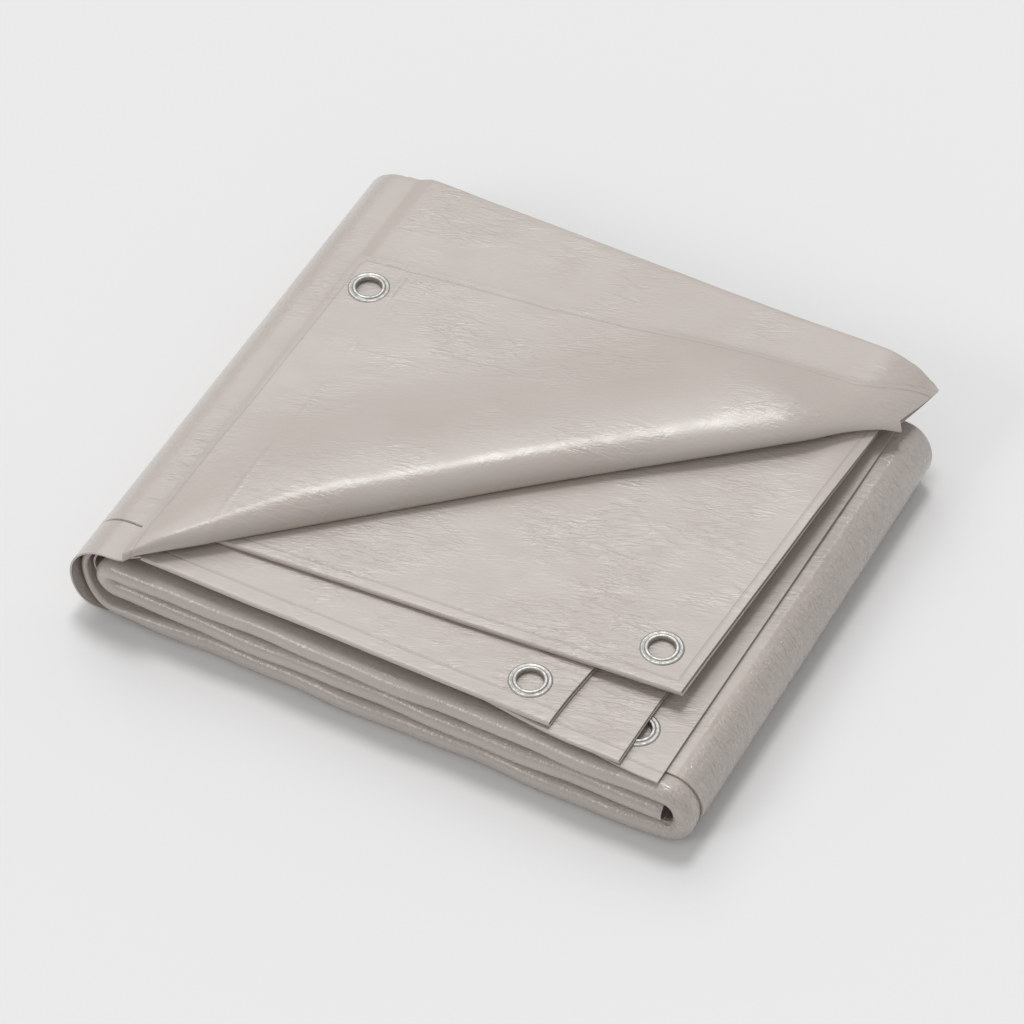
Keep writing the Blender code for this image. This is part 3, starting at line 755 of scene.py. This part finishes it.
class TARP_OT_sheet(bpy.types.Operator):
    """Build the folded sheet with its turned-back corner"""

    bl_idname = "tarp.sheet"
    bl_label = "Folded sheet"

    def execute(self, context):
        settings = context.scene.tarp_settings
        points, fields, cells = sheet_grid()
        shell, kept, faces, _ = thicken(points, fields, cells, settings.thickness)
        pattern = {"weld_gap": kept[:, 0], "hem_gap": kept[:, 1], "bend": kept[:, 2], "press_gap": kept[:, 3]}
        sheet = add_mesh("tarp_sheet", shell, faces, coated_cloth(settings), pattern)
        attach(sheet, "root")
        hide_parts("tarp_cloth", "hem_flap", "hem_upper", "hem_middle", "hem_lower")
        return {"FINISHED"}


class TARP_OT_eyelets(bpy.types.Operator):
    """Build the four eyelets and dress their washers"""

    bl_idname = "tarp.eyelets"
    bl_label = "Eyelets"

    def execute(self, context):
        metal = eyelet_metal(context.scene.tarp_settings)
        for label, (leaf, centre) in EYELETS.items():
            points, faces = eyelet_shape(leaf, centre)
            rim = add_mesh(f"rim_{label}", points, faces.tolist(), metal, sharp=60.0)
            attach(rim, "root")
            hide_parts(f"eyelet_{label}")
            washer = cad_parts[f"washer_{label}"]
            washer.data.materials.clear()
            washer.data.materials.append(metal)
        return {"FINISHED"}


class TARP_OT_studio(bpy.types.Operator):
    """Set up the pale floor, soft lights and camera"""

    bl_idname = "tarp.studio"
    bl_label = "Studio"

    def execute(self, context):
        settings = context.scene.studio_settings
        side = np.linspace(-0.5, 0.5, settings.floor_points) * settings.floor_size
        count = settings.floor_points
        across, along = np.meshgrid(side, side)
        points = np.stack([across, along, np.full_like(across, -0.0002)], axis=2).reshape(-1, 3)
        corner = (np.arange(count - 1)[:, None] * count + np.arange(count - 1)[None, :]).reshape(-1)
        faces = np.stack([corner, corner + 1, corner + count + 1, corner + count], axis=1)
        floor = add_mesh("studio_floor", points + ORIGIN, faces.tolist(), studio_floor(settings))
        add_sun("key_light", (-0.9, 0.9, 1.5), 40.0, settings.key_power)
        add_sun("top_light", (-0.24, 0.50, 1.6), 16.0, settings.top_power)
        add_sun("fill_light", (-0.5, -0.8, 0.6), 18.0, settings.fill_power)
        world = bpy.data.worlds.new("studio_sky")
        world.use_nodes = True
        world.node_tree.nodes["Background"].inputs["Color"].default_value = (1.0, 1.0, 1.0, 1.0)
        world.node_tree.nodes["Background"].inputs["Strength"].default_value = settings.sky
        context.scene.world = world
        add_camera(settings)
        context.scene.view_settings.view_transform = "Standard"
        return {"FINISHED"}


def aim(piece, place, target):
    """Puts a light or camera at a place and turns it to look at the target."""
    piece.location = place
    piece.rotation_euler = (Vector(target) - Vector(place)).to_track_quat("-Z", "Y").to_euler()


def add_sun(name, place, spread, power):
    """A distant light that shines from a place towards the tarp, with its own angular width in degrees."""
    lamp = bpy.data.lights.new(name, "SUN")
    lamp.angle = math.radians(spread)
    lamp.energy = power
    piece = bpy.data.objects.new(name, lamp)
    bpy.context.scene.collection.objects.link(piece)
    aim(piece, place, (0.0, 0.0, 0.0))


def add_camera(settings):
    """Camera on a sphere round the target: azimuth from the front, elevation above the floor."""
    level, rise = settings.azimuth, settings.elevation
    target = np.array([0.187, 0.171, 0.0]) - ORIGIN
    back = np.array([math.sin(level) * math.cos(rise), -math.cos(level) * math.cos(rise), math.sin(rise)])
    lens = bpy.data.cameras.new("photo_camera")
    lens.sensor_width = 36.0
    lens.lens = settings.lens
    lens.clip_start, lens.clip_end = 0.05, 50.0
    camera = bpy.data.objects.new("photo_camera", lens)
    bpy.context.scene.collection.objects.link(camera)
    aim(camera, tuple(target + back * settings.distance), tuple(target))
    bpy.context.scene.camera = camera


class TARP_PT_panel(bpy.types.Panel):
    """Lists the tarp's pieces and settings"""

    bl_label = "Folded tarp"
    bl_idname = "TARP_PT_panel"
    bl_space_type = "VIEW_3D"
    bl_region_type = "UI"
    bl_category = "Tarp"

    def draw(self, context):
        for operator in (TARP_OT_sheet, TARP_OT_eyelets, TARP_OT_studio):
            self.layout.operator(operator.bl_idname)
        for group in (context.scene.tarp_settings, context.scene.studio_settings):
            for label in group.__class__.__annotations__:
                self.layout.prop(group, label)


CLASSES = (TarpSettings, StudioSettings, TARP_OT_sheet, TARP_OT_eyelets, TARP_OT_studio, TARP_PT_panel)


def register():
    for item in CLASSES:
        bpy.utils.register_class(item)
    bpy.types.Scene.tarp_settings = PointerProperty(type=TarpSettings)
    bpy.types.Scene.studio_settings = PointerProperty(type=StudioSettings)


def unregister():
    del bpy.types.Scene.studio_settings
    del bpy.types.Scene.tarp_settings
    for item in reversed(CLASSES):
        bpy.utils.unregister_class(item)


def main():
    register()
    bpy.ops.tarp.studio()
    bpy.ops.tarp.sheet()
    bpy.ops.tarp.eyelets()


if __name__ == "__main__":
    main()
